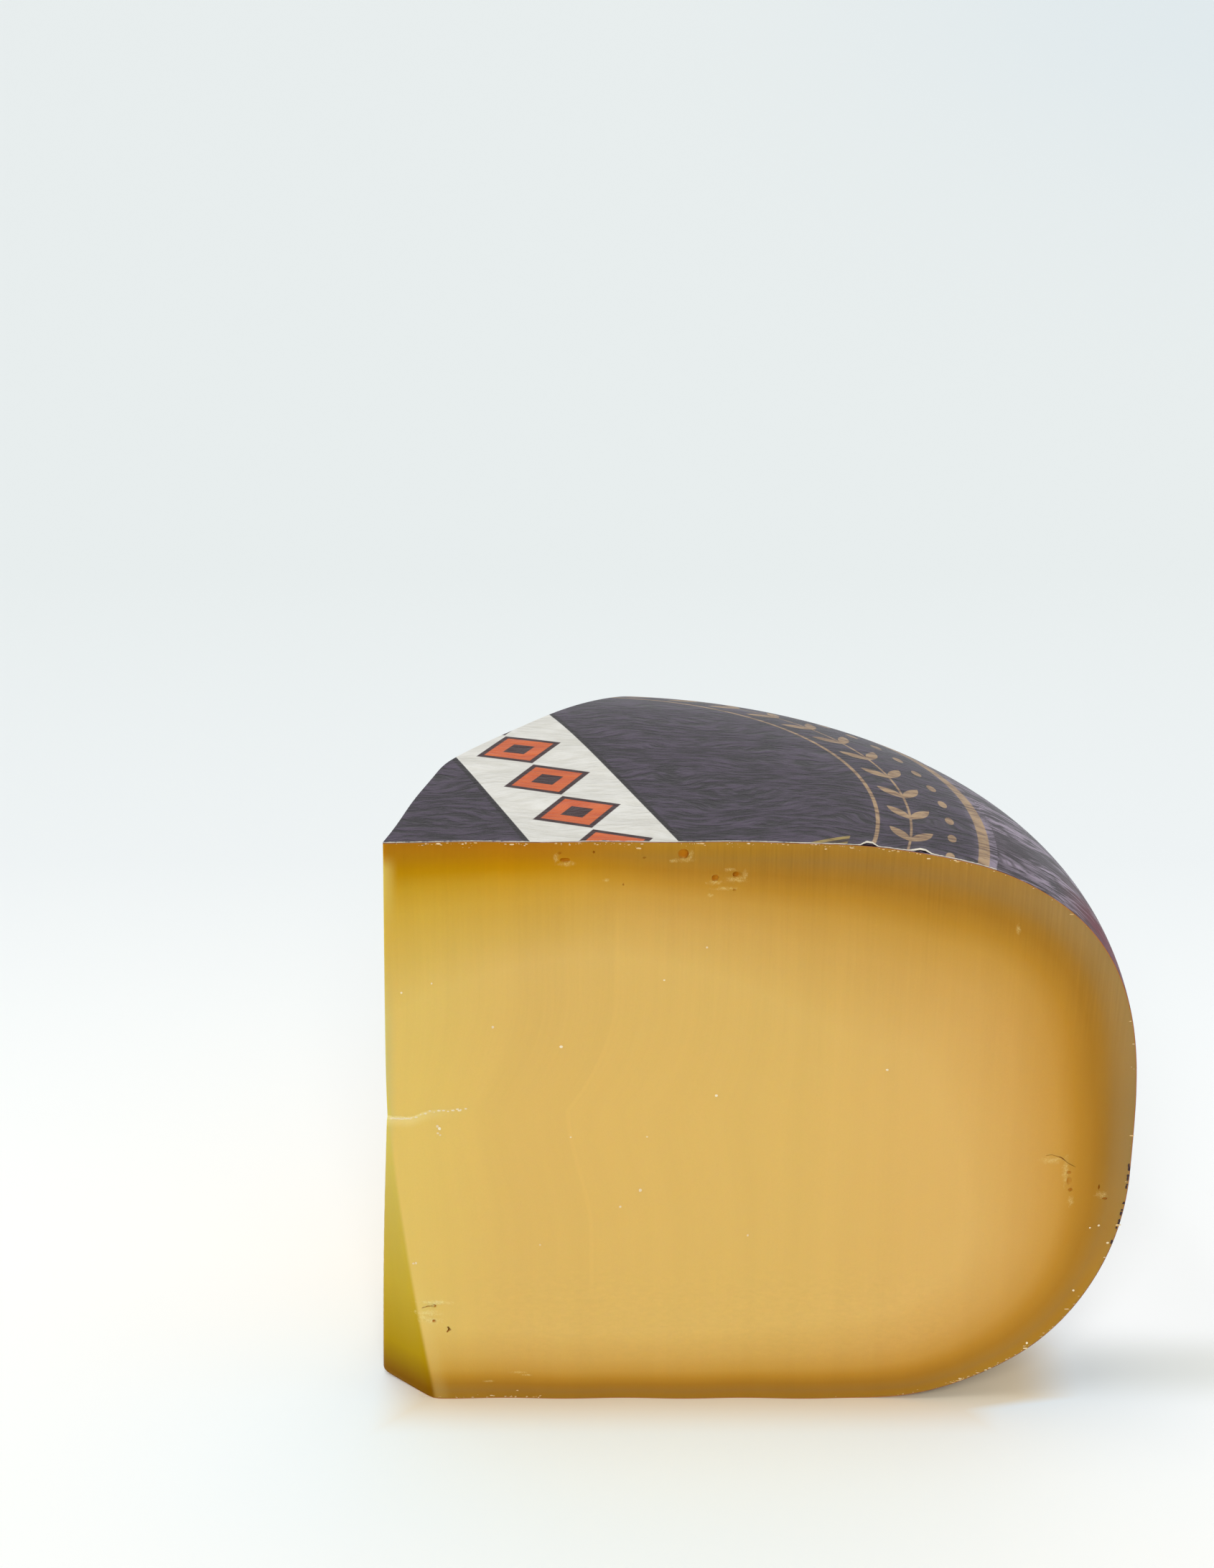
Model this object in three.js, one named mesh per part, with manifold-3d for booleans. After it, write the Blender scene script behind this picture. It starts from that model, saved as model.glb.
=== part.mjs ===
// A piece of a small aged gouda, cut from a round wheel with a knife.
//
// The wheel stands on its flat underside. One straight cut passes just in front of its
// axis, a second one to the left of it, and what is left is the right rear part of the
// wheel with its round, dark coated rim. A thin printed paper label lies in the coat on
// the top and ends flush with both cuts.
//
// Millimetres, +Z up. The work is done with the wheel's axis on Z and its underside at
// z = 0, and the finished piece is then centred over the origin.

import * as THREE from 'three';
import { mergeVertices } from 'three/addons/utils/BufferGeometryUtils.js';
import Module from 'manifold-3d';

// The wheel: a flat top and underside joined by one full round rim.
const WHEEL_HEIGHT = 120;
const WHEEL_RADIUS = 100;
const WAIST_HEIGHT = 52.5;
const TOP_FLAT_RADIUS = 17;
const TOP_ROUNDNESS = 3.3;
const UNDERSIDE_FLAT_RADIUS = 50;
const UNDERSIDE_ROUNDNESS = 2.15;
const WHEEL_SIDES = 96;
const RIM_STEPS = 18;

// The front cut, square to Y, this far in front of the axis.
const FRONT_CUT = 7;
const KNIFE_WAVE = 0.14;
const KNIFE_WAVE_LENGTH = 23;
const FACE_HOLLOW = 0.35;

// The ridge where two strokes of the knife met, low on the front face at the left.
const RIDGE_HEIGHT = 63.2;
const RIDGE_RISE = 2.5;
const RIDGE_LENGTH = 24;
const RIDGE_STEP = 0.6;
const RIDGE_WIDTH = 0.7;

// The left cut starts at this x on the front edge, runs back and to the right, leans out
// towards the underside, more so below the ridge, and turns inwards at the back.
const LEFT_CUT = -36.8;
const LEFT_CUT_SLOPE = 0.26;
const LEFT_CUT_SLOPE_AT_FOOT = 0.1;
const LEFT_LEAN = 2.9;
const LEFT_LEAN_BELOW_RIDGE = 5.2;
const LEFT_TURN_START = 33.5;
const LEFT_TURN_SLOPE = 0.5;
const LEFT_TURN_SOFTNESS = 1.5;

// The pared corner at the foot of the front left edge.
const PARED_HEIGHT = 62.5;
const PARED_ALONG_FRONT = 11;
const PARED_INTO_DEPTH = 8.2;

// The paper label: a disc glued a little off the wheel's middle, let into the coat.
const LABEL_CENTRE_X = -9.3;
const LABEL_CENTRE_Y = 8.6;
const LABEL_RADIUS = 82;
const LABEL_PROUD = 0.1;
const LABEL_THICKNESS = 0.35;
const LABEL_CLEARANCE = 0.3;

// Grids of the two cut faces, and how far their cutting blocks reach. The rows of the front
// grid lie closer together near the ridge.
const FRONT_COLUMNS = 40;
const FRONT_ROWS = 34;
const ROW_CROWDING = 0.6;
const LEFT_COLUMNS = 22;
const LEFT_ROWS = 18;
const REACH = 130;
const MARGIN = 5;

// Small eyes in the front face: x from the axis, height, width and depth.
const EYES = [
  { x: -4.9, z: 116.5, width: 1.3, depth: 1.1 },
  { x: 15.7, z: 117.6, width: 1.5, depth: 1.3 },
  { x: 25.1, z: 113.5, width: 1.3, depth: 1.0 },
  { x: 21.5, z: 112.9, width: 1.0, depth: 0.8 },
  { x: -33.6, z: 20.6, width: 1.1, depth: 0.8 },
  { x: -30.5, z: 18.0, width: 1.4, depth: 1.1 },
  { x: 88.4, z: 51.5, width: 1.2, depth: 0.9 },
  { x: 88.9, z: 47.7, width: 1.1, depth: 0.8 },
];

// Short cracks in the front face: middle, length, turn in degrees and depth.
const CRACKS = [
  { x: 86.5, z: 54.5, length: 6.2, turn: -24, depth: 2.2 },
  { x: -31.6, z: 21.6, length: 3.2, turn: 12, depth: 1.6 },
  { x: -27.9, z: 16.2, length: 2.4, turn: 72, depth: 1.6 },
];
const CRACK_WIDTH = 0.45;

const wasm = await Module();
wasm.setup();

// A three.js geometry as a solid that can be joined and cut.
function toSolid(geometry) {
  const bare = geometry.index ? geometry.clone() : geometry;
  bare.deleteAttribute('normal');
  bare.deleteAttribute('uv');
  const merged = mergeVertices(bare, 1e-4);
  return new wasm.Manifold(new wasm.Mesh({
    numProp: 3,
    vertProperties: new Float32Array(merged.attributes.position.array),
    triVerts: new Uint32Array(merged.index.array),
  }));
}

// A solid as a named mesh with its own material.
function toMesh(solid, name, color, roughness) {
  const { numProp, vertProperties, triVerts } = solid.getMesh();
  const position = new Float32Array((vertProperties.length / numProp) * 3);
  for (let i = 0; i < position.length / 3; i += 1) {
    position.set(vertProperties.subarray(i * numProp, i * numProp + 3), i * 3);
  }
  const geometry = new THREE.BufferGeometry();
  geometry.setAttribute('position', new THREE.BufferAttribute(position, 3));
  geometry.setIndex(Array.from(triVerts));
  geometry.computeVertexNormals();
  const material = new THREE.MeshStandardMaterial({ color, roughness, metalness: 0 });
  const mesh = new THREE.Mesh(geometry, material);
  mesh.name = name;
  return mesh;
}

// The wheel's half outline from the middle of its underside to the middle of its top.
// Each rim quarter is a superellipse: the sum of both offsets from its centre, as parts of
// its half axes and raised to the roundness, is one.
function wheelOutline() {
  const outline = [new THREE.Vector2(0, 0)];
  const quarter = (flat, depth, roundness, angle) => new THREE.Vector2(
    flat + (WHEEL_RADIUS - flat) * Math.cos(angle) ** (2 / roundness),
    WAIST_HEIGHT + depth * Math.sin(angle) ** (2 / roundness),
  );
  for (let i = 0; i < RIM_STEPS; i += 1) {
    const angle = (Math.PI / 2) * (1 - i / RIM_STEPS);
    outline.push(quarter(UNDERSIDE_FLAT_RADIUS, -WAIST_HEIGHT, UNDERSIDE_ROUNDNESS, angle));
  }
  for (let i = 0; i <= RIM_STEPS; i += 1) {
    const angle = (Math.PI / 2) * (i / RIM_STEPS);
    outline.push(quarter(TOP_FLAT_RADIUS, WHEEL_HEIGHT - WAIST_HEIGHT, TOP_ROUNDNESS, angle));
  }
  outline.push(new THREE.Vector2(0, WHEEL_HEIGHT));
  return outline;
}

// The outline moved outwards along its own normals.
function offsetOutline(outline, distance) {
  return outline.map((point, i) => {
    const before = outline[Math.max(i - 1, 0)];
    const after = outline[Math.min(i + 1, outline.length - 1)];
    const along = after.clone().sub(before).normalize();
    const moved = point.clone().add(new THREE.Vector2(along.y, -along.x).multiplyScalar(distance));
    if (point.x === 0) {
      moved.set(0, point.y + (i === 0 ? -distance : distance));
    }
    return moved;
  });
}

// A wheel of the given outline, standing on z = 0 around the Z axis.
function turnedWheel(outline) {
  const geometry = new THREE.LatheGeometry(outline, WHEEL_SIDES);
  geometry.rotateX(Math.PI / 2);
  return toSolid(geometry);
}

// A closed block with one wavy face. pointAt(u, v), each from 0 to 1, gives a point of that
// face, and the block lies behind it in the direction of away, which is also that of u x v.
function cuttingBlock(pointAt, away, columns, rows) {
  const corners = [];
  for (const shift of [0, 1]) {
    for (let j = 0; j <= rows; j += 1) {
      for (let i = 0; i <= columns; i += 1) {
        corners.push(pointAt(i / columns, j / rows).addScaledVector(away, shift));
      }
    }
  }
  const layer = (columns + 1) * (rows + 1);
  const at = (i, j, shift) => shift * layer + j * (columns + 1) + i;
  const faces = [];
  const quad = (a, b, c, d) => faces.push(a, c, b, a, d, c);
  for (let j = 0; j < rows; j += 1) {
    for (let i = 0; i < columns; i += 1) {
      quad(at(i, j, 0), at(i + 1, j, 0), at(i + 1, j + 1, 0), at(i, j + 1, 0));
      quad(at(i, j, 1), at(i, j + 1, 1), at(i + 1, j + 1, 1), at(i + 1, j, 1));
    }
  }
  for (let i = 0; i < columns; i += 1) {
    quad(at(i, 0, 0), at(i, 0, 1), at(i + 1, 0, 1), at(i + 1, 0, 0));
    quad(at(i, rows, 0), at(i + 1, rows, 0), at(i + 1, rows, 1), at(i, rows, 1));
  }
  for (let j = 0; j < rows; j += 1) {
    quad(at(0, j, 0), at(0, j + 1, 0), at(0, j + 1, 1), at(0, j, 1));
    quad(at(columns, j, 0), at(columns, j, 1), at(columns, j + 1, 1), at(columns, j + 1, 0));
  }
  const geometry = new THREE.BufferGeometry();
  geometry.setAttribute('position', new THREE.Float32BufferAttribute(corners.flatMap((p) => p.toArray()), 3));
  geometry.setIndex(faces);
  return toSolid(geometry);
}

// A step from 0 to 1 around zero, as wide as the given width.
const softStep = (t, width) => 0.5 + 0.5 * Math.tanh(t / width);

// A slope that starts softly at zero: nothing before, the distance itself after.
const softRamp = (t, width) => width * Math.log1p(Math.exp(t / width));

// How deep the knife went into the front face at x and z.
function frontRelief(x, z) {
  const across = THREE.MathUtils.clamp((x - LEFT_CUT) / (WHEEL_RADIUS - LEFT_CUT), 0, 1);
  const up = THREE.MathUtils.clamp(z / WHEEL_HEIGHT, 0, 1);
  const wave = KNIFE_WAVE * Math.sin((2 * Math.PI * x) / KNIFE_WAVE_LENGTH + up);
  const hollow = FACE_HOLLOW * Math.sin(Math.PI * across) * Math.sin(Math.PI * up);
  const alongRidge = THREE.MathUtils.clamp((x - LEFT_CUT) / RIDGE_LENGTH, 0, 1);
  const ridge = RIDGE_HEIGHT + RIDGE_RISE * (1 - (1 - alongRidge) ** 2);
  const fade = (1 - alongRidge) ** 1.5 * Math.min(1, (up * WHEEL_HEIGHT) / RIDGE_HEIGHT);
  return wave + hollow + RIDGE_STEP * fade * softStep(ridge - z, RIDGE_WIDTH);
}

function frontCutter() {
  const half = WHEEL_HEIGHT / 2 + MARGIN;
  const pointAt = (u, v) => {
    const inner = (u * FRONT_COLUMNS - 1) / (FRONT_COLUMNS - 2);
    const xInside = THREE.MathUtils.lerp(LEFT_CUT - 2 * MARGIN, WHEEL_RADIUS + MARGIN, inner);
    const x = u === 0 ? -REACH : u === 1 ? REACH : xInside;
    const t = 2 * v - 1;
    const z = WHEEL_HEIGHT / 2 + half * t * (1 - ROW_CROWDING + ROW_CROWDING * t * t);
    return new THREE.Vector3(x, -FRONT_CUT + frontRelief(x, z), z);
  };
  return cuttingBlock(pointAt, new THREE.Vector3(0, -REACH, 0), FRONT_COLUMNS, FRONT_ROWS);
}

// The x of the left cut at a distance back from the front face and a height.
function leftCutAt(back, z) {
  const down = 1 - z / WHEEL_HEIGHT;
  const belowRidge = Math.max(0, down - (1 - RIDGE_HEIGHT / WHEEL_HEIGHT));
  const lean = LEFT_LEAN * down + LEFT_LEAN_BELOW_RIDGE * belowRidge;
  const footShare = Math.min(1, belowRidge / (RIDGE_HEIGHT / WHEEL_HEIGHT));
  const slope = THREE.MathUtils.lerp(LEFT_CUT_SLOPE, LEFT_CUT_SLOPE_AT_FOOT, footShare);
  const turn = LEFT_TURN_SLOPE * softRamp(back - LEFT_TURN_START, LEFT_TURN_SOFTNESS);
  const wave = KNIFE_WAVE * Math.sin((2 * Math.PI * back) / KNIFE_WAVE_LENGTH);
  return LEFT_CUT - lean + slope * back + turn + wave;
}

function leftCutter() {
  const pointAt = (u, v) => {
    const back = THREE.MathUtils.lerp(REACH, -MARGIN, u);
    const z = THREE.MathUtils.lerp(-MARGIN, WHEEL_HEIGHT + MARGIN, v);
    return new THREE.Vector3(leftCutAt(Math.max(back, 0), z), back - FRONT_CUT, z);
  };
  return cuttingBlock(pointAt, new THREE.Vector3(-2 * REACH, 0, 0), LEFT_COLUMNS, LEFT_ROWS);
}

// The flat stroke that pared the corner: it leaves the front left edge at its upper end and
// cuts off a triangle on the underside.
function paringCutter() {
  const upper = new THREE.Vector3(leftCutAt(0, PARED_HEIGHT), -FRONT_CUT + RIDGE_STEP, PARED_HEIGHT);
  const front = new THREE.Vector3(leftCutAt(0, 0) + PARED_ALONG_FRONT, -FRONT_CUT, 0);
  const rear = new THREE.Vector3(leftCutAt(PARED_INTO_DEPTH, 0), -FRONT_CUT + PARED_INTO_DEPTH, 0);
  const across = front.clone().sub(rear).normalize();
  const normal = across.clone().cross(upper.clone().sub(rear)).normalize();
  const along = normal.clone().cross(across);
  const size = 2 * WHEEL_HEIGHT;
  const pointAt = (u, v) => rear.clone()
    .addScaledVector(across, (u - 0.5) * size)
    .addScaledVector(along, (v - 0.5) * size);
  return cuttingBlock(pointAt, normal.clone().multiplyScalar(size), 1, 1);
}

// A small round eye in the front face.
function eyeCutter({ x, z, width, depth }) {
  const geometry = new THREE.IcosahedronGeometry(1, 0);
  geometry.scale(width / 2, depth, width / 2);
  geometry.translate(x, -FRONT_CUT + frontRelief(x, z), z);
  return toSolid(geometry);
}

// A thin lens that opens a crack in the front face.
function crackCutter({ x, z, length, turn, depth }) {
  const geometry = new THREE.OctahedronGeometry(1, 0);
  geometry.scale(length / 2, depth, CRACK_WIDTH / 2);
  geometry.rotateY(THREE.MathUtils.degToRad(-turn));
  geometry.translate(x, -FRONT_CUT + frontRelief(x, z), z);
  return toSolid(geometry);
}

// A round upright core with the label's outline, grown by the given amount.
function labelCore(grow) {
  const geometry = new THREE.CylinderGeometry(LABEL_RADIUS + grow, LABEL_RADIUS + grow, WHEEL_HEIGHT, WHEEL_SIDES);
  geometry.rotateX(Math.PI / 2);
  geometry.translate(LABEL_CENTRE_X, LABEL_CENTRE_Y, WAIST_HEIGHT + WHEEL_HEIGHT / 2);
  return toSolid(geometry);
}

const outline = wheelOutline();
const labelInner = LABEL_PROUD - LABEL_THICKNESS;
const coveredTop = turnedWheel(offsetOutline(outline, labelInner - LABEL_CLEARANCE));
const labelTop = turnedWheel(offsetOutline(outline, LABEL_PROUD));
const labelUnderside = turnedWheel(offsetOutline(outline, labelInner));

const cuts = [frontCutter(), leftCutter()];
const pockets = labelCore(LABEL_CLEARANCE).subtract(coveredTop);

let cheeseSolid = turnedWheel(outline).subtract(pockets);
for (const cutter of [...cuts, paringCutter(), ...EYES.map(eyeCutter), ...CRACKS.map(crackCutter)]) {
  cheeseSolid = cheeseSolid.subtract(cutter);
}

let labelSolid = labelTop.subtract(labelUnderside).intersect(labelCore(0));
for (const cutter of cuts) {
  labelSolid = labelSolid.subtract(cutter);
}

const piece = new THREE.Group();
piece.add(toMesh(cheeseSolid, 'aged_gouda_piece', 0xd8ae5c, 0.5));
piece.add(toMesh(labelSolid, 'top_label', 0x4f4550, 0.45));

// The finished piece stands with the middle of its bounding box over the origin.
const box = new THREE.Box3().setFromObject(piece);
const middle = box.getCenter(new THREE.Vector3());
piece.position.set(-middle.x, -middle.y, -box.min.z);

export default piece;
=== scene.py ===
"""A piece of a small aged gouda: paste, dark coat, printed paper label, crystals and crumbs.

Shapes are worked out in millimetres from the wheel's axis and its underside, as in the
part's source, and to_frame() moves them into the shared frame in metres. Colours are
given as sRGB bytes.
"""

import math

import bmesh
import bpy
import numpy as np
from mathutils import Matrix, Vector


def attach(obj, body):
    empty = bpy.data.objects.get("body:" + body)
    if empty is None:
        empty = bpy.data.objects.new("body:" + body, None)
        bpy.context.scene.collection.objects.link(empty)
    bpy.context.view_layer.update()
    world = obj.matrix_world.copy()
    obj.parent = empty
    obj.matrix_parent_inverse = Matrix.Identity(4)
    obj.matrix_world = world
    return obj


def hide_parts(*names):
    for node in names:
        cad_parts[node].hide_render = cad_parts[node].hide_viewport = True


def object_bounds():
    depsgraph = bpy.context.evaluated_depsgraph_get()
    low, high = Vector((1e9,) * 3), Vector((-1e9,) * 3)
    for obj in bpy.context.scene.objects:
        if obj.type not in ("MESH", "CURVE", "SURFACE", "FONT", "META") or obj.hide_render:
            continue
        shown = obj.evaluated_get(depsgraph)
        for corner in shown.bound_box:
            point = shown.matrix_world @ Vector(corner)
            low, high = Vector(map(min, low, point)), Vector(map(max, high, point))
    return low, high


MM = 0.001

# The wheel and its cuts, as in the part's source.
WHEEL_HEIGHT = 120
WHEEL_RADIUS = 100
WAIST_HEIGHT = 52.5
TOP_FLAT_RADIUS = 17
TOP_ROUNDNESS = 3.3
UNDERSIDE_FLAT_RADIUS = 50
UNDERSIDE_ROUNDNESS = 2.15
FRONT_CUT = 7
KNIFE_WAVE = 0.14
KNIFE_WAVE_LENGTH = 23
FACE_HOLLOW = 0.35
RIDGE_HEIGHT = 63.2
RIDGE_BEND = (-34.4, -29.5)
RIDGE_BEND_RISE = 1.6
RIDGE_SLOPE = 0.06
RIDGE_LENGTH = 24
RIDGE_STEP = 0.6
RIDGE_WIDTH = 0.5
LEFT_CUT = -36.8
LEFT_CUT_SLOPE = 0.26
LEFT_CUT_SLOPE_AT_FOOT = 0.1
LEFT_LEAN = 2.9
LEFT_LEAN_BELOW_RIDGE = 5.2
LEFT_BELLY = 0.9
LEFT_BELLY_REACH = 14
LEFT_TURN_START = 33.5
LEFT_TURN_SLOPE = 0.5
LEFT_TURN_SOFTNESS = 1.5
PARED_HEIGHT = 62.5
PARED_ALONG_FRONT = 11
PARED_INTO_DEPTH = 8.2
PARED_SOFTNESS = 0.35
PARED_BELLY = 0.42
FOOT_WEAR = 1.6
FOOT_WEAR_REACH = 6
LABEL_CENTRE = np.array([-9.3, 8.6])
LABEL_RADIUS = 82
LABEL_PROUD = 0.1

# How thick the coat is, how far the skins keep from the wheel's own surface, the coat inside
# it and the label outside, and how far the knife's relief reaches behind the front face.
COAT_THICKNESS = 0.2
SKIN_GAP = 0.02
RELIEF_REACH = 3

# Small eyes in the front face: x, height above the underside, width, height and depth.
EYES = [
    (-5.0, 116.4, 1.8, 1.0, 0.6), (-5.8, 117.8, 0.7, 0.6, 0.3), (0.2, 117.9, 0.6, 0.6, 0.25),
    (9.1, 116.9, 0.8, 0.5, 0.2), (15.9, 117.7, 1.8, 2.0, 0.7), (21.6, 112.8, 1.4, 1.4, 0.6),
    (25.4, 113.5, 1.8, 1.2, 0.6), (25.0, 110.4, 0.6, 0.5, 0.25), (5.4, 111.5, 0.5, 0.5, 0.25),
    (-30.4, 21.6, 0.8, 0.7, 0.5), (-30.5, 18.1, 0.8, 0.8, 0.5), (88.4, 51.6, 1.1, 0.8, 0.3),
    (88.5, 49.8, 1.0, 1.7, 0.32), (88.9, 47.8, 1.1, 0.9, 0.3), (94.2, 48.3, 0.5, 1.1, 0.4),
    (95.4, 45.8, 1.1, 0.6, 0.35),
]

# Cracks in the front face: width, depth and the x and height of points along them.
CRACKS = [
    (0.3, 1.2, [(-32.9, 21.0), (-31.6, 21.5), (-30.3, 21.7)]),
    (0.55, 1.3, [(-28.0, 16.9), (-27.6, 16.2), (-28.2, 15.5)]),
    (0.2, 0.5, [(83.6, 55.2), (84.8, 55.5), (86.7, 54.9), (88.1, 53.6), (89.6, 52.7)]),
]

# What counts as inside an eye or a crack: the reach about a crack's points, the least and the
# greatest depth, and the distances from the pared corner and from the rind.
CRACK_REACH = 1.6
PIT_DEPTHS = (0.03, 1.6)
PIT_TO_PARED = 0.6
PIT_TO_RIND = 0.8

# Pale smears torn up beside the eyes and cracks: x, height, half width and half height. They
# end before SMEAR_REACH of their half sizes.
SMEAR_REACH = 2.0
SMEARS = [
    (-4.6, 115.7, 1.7, 0.5), (-6.5, 116.8, 0.5, 1.0), (16.3, 116.5, 1.6, 0.5), (17.2, 117.4, 0.5, 0.9),
    (14.2, 116.3, 0.9, 0.4), (21.6, 111.9, 1.4, 0.5), (25.4, 112.5, 1.9, 0.6), (26.9, 113.4, 0.5, 1.0),
    (24.0, 114.4, 1.0, 0.4), (23.4, 110.7, 2.2, 0.35), (20.7, 109.4, 0.5, 0.4), (2.4, 112.3, 0.6, 0.4),
    (75.8, 102.5, 0.5, 1.0), (-31.7, 20.0, 2.4, 0.7), (-31.2, 18.2, 1.9, 0.8), (-32.6, 18.9, 0.8, 0.8),
    (-30.2, 22.4, 3.2, 0.5), (84.9, 54.3, 2.2, 0.7), (87.7, 51.6, 0.6, 3.0), (89.1, 45.4, 0.6, 1.2),
    (94.8, 46.6, 1.1, 0.7), (-14.6, 6.1, 1.6, 0.3), (-13.0, 5.5, 1.2, 0.2), (-20.4, 4.0, 1.2, 0.25),
]

# White crystals on the front face: x and height.
CRYSTALS = [
    (-29.0, 91.7), (-34.5, 89.8), (-18.2, 82.5), (20.4, 98.9), (12.8, 92.3), (-5.8, 78.5),
    (-4.2, 59.2), (9.9, 59.2), (8.7, 47.5), (5.0, 43.8), (-10.1, 35.5), (22.6, 68.0),
    (53.7, 73.5), (29.0, 37.4), (93.2, 39.3), (94.8, 39.8), (96.8, 35.9), (91.1, 25.2),
    (83.0, 13.1), (-28.8, 61.5), (-28.4, 61.0), (-28.7, 60.0), (-28.3, 59.6),
    (-34.1, 31.2), (-33.6, 31.3),
]

# Where the label's paper has come up from the coat at the front cut: x, half width, height,
# and how far behind the cut it lies flat again.
LABEL_LIFTS = [(48.5, 1.0, 0.6), (57.8, 1.3, 0.5)]
LIFT_REACH = 2.2

# The depth below the rind is measured longer away from the direction in which the rind's
# colours reach deepest, seen from a middle inside the paste: its radius and height.
RIND_STRETCH = 1.7
RIND_DEEPEST = math.radians(40)
PASTE_MIDDLE = (30, 60)

# Grids: rows from the top corner to the foot, columns across each face.
ROWS = 240
FRONT_COLUMNS = 230
LEFT_COLUMNS = 60
RIM_COLUMNS = 110
HIDDEN_COLUMNS = 40
LABEL_COLUMNS = 120
LABEL_STEPS = 110
OUTLINE_STEPS = 400
CRACK_STEPS = 16

# How often an interval is halved to find the rim and the label's edge, and the share of even
# steps in eased ones.
RIM_HALVINGS = 48
LABEL_HALVINGS = 40
EVEN_SHARE = 0.35

# Colour ramps: place and sRGB bytes. The paste's two start at the rind and end at RAMP_DEPTH.
# Their darkening towards the rind is partly the paste's own colour and partly painted shade
# near the coat and the foot; the second is painted shade, darker and more orange, under the
# top edge at the upper left. The pared corner's runs up to PARED_RAMP_HEIGHT and is painted
# shade, darkest at the foot, and the floor's runs away from the camera.
RAMP_DEPTH = 40
PASTE_STOPS = [
    (0.02, (170, 122, 42)), (0.05, (166, 118, 38)), (0.11, (160, 116, 48)), (0.21, (169, 119, 38)),
    (0.31, (186, 135, 46)), (0.41, (199, 151, 67)), (0.6, (209, 164, 85)), (1.0, (219, 179, 101)),
]
UPPER_LEFT_SHADE_STOPS = [
    (0.02, (172, 106, 2)), (0.1, (174, 114, 0)), (0.2, (184, 129, 6)), (0.3, (196, 146, 38)),
    (0.45, (205, 159, 62)), (0.75, (211, 170, 83)), (1.0, (219, 179, 101)),
]
PARED_RAMP_HEIGHT = 58
# The pared corner's painted shade, darkest and most orange at the foot.
PARED_SHADE_STOPS = [
    (0.035, (134, 90, 0)), (0.17, (176, 142, 4)), (0.43, (196, 166, 50)), (0.73, (202, 177, 78)),
    (1.0, (208, 188, 94)),
]
FLOOR_STOPS = [
    (0.0, (249, 251, 249)), (0.17, (251, 252, 250)), (0.34, (242, 245, 244)),
    (0.48, (233, 237, 237)), (0.85, (226, 231, 230)),
]

# Single colours, in sRGB bytes.
HAZE = (160, 128, 80)
# A painted highlight at the upper end of the front left edge.
EDGE_HIGHLIGHT = (206, 181, 92)
# Pale torn paste, also used for the painted highlight along the pared corner's edge.
TORN_PASTE_AND_HIGHLIGHT = (238, 218, 146)
# Painted shade deep in the eyes and cracks.
PIT_SHADE = (186, 112, 4)
CRUMB = (206, 160, 76)
CRYSTAL = (242, 230, 196)
FLAKE = (60, 42, 44)
COAT_DARK = (38, 22, 34)
# The coat's painted lilac sheen along its brush streaks.
COAT_SHEEN = (156, 140, 158)
WINE = (104, 10, 38)
CUT_COAT = (176, 112, 48)
FURROW = (58, 42, 30)
LOZENGE_LINE = (52, 24, 26)
BAND_BORDER = (30, 22, 26)
TORN_PAPER = (222, 214, 196)
FLOOR_FAR_RIGHT = (219, 227, 229)
FLOOR_IN_FRONT = (241, 251, 255)

# The label's inks: the streaks' values at which each is dark and light, and both colours.
# The light colours are partly painted highlight along the brush streaks, and the border's are
# the coat's dark and its painted sheen.
INKS = {
    "ground": (0.4, 0.62, (28, 20, 26), (71, 59, 76)),
    "border": (0.4, 0.62, (38, 22, 34), (138, 124, 140)),
    "gold": (0.38, 0.6, (118, 90, 66), (172, 142, 106)),
    "field": (0.3, 0.7, (120, 98, 44), (160, 138, 76)),
    "orange": (0.3, 0.7, (196, 82, 26), (214, 104, 44)),
    "cream": (0.3, 0.7, (214, 211, 200), (228, 226, 218)),
}

# The label's print: radii and middles in millimetres, counts, and the band's turn in degrees.
WREATH_RADIUS = 66.5
WREATH_LEAVES = 44
GRAIN_RADIUS = 73.8
GRAINS = 60
FURROW_MIDDLE = (64.0, -52.0)
BAND_MIDDLE = (2.0, -7.0)
BAND_TURN = 112
LOZENGE_STEP = 15.0
PRINT_BLUR = 0.1

# The floor: half its side in metres, the radius within which it takes on the paste's warm
# light, painted as warm light and shade, and how much that painted warm light and the painted
# shadow band take from red, green and blue.
FLOOR_HALF = 6.0
FOOT_GLOW_RADIUS = 68
FOOT_GLOW = (0.05, 0.25, 0.48)
SHADOW_BAND = (0.15, 0.15, 0.18)

# The camera's place in millimetres from the axis, and its tilt below the level in degrees.
CAMERA_PLACE = np.array([2.51, -436.94, 329.9])
CAMERA_TILT = 24.81

# Suns: name, direction that the light comes from, spread in degrees, strength and colour.
SUNS = [
    ("top_light", (-0.2, -0.03, 1), 30, 0.6, (1, 1, 1)),
    ("right_light", (0.8, 0.5, 0.9), 70, 0.32, (1, 1, 1)),
    ("front_light", (-0.06, -1, 0.8), 30, 1.35, (1, 0.99, 0.99)),
]

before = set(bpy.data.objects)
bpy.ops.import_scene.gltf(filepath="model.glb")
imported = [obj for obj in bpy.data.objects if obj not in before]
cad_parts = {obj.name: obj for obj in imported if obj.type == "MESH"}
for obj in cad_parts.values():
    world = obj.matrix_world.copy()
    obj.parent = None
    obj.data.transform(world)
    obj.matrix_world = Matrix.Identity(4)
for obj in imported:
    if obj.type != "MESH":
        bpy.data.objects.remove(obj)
cad_low, cad_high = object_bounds()

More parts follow.
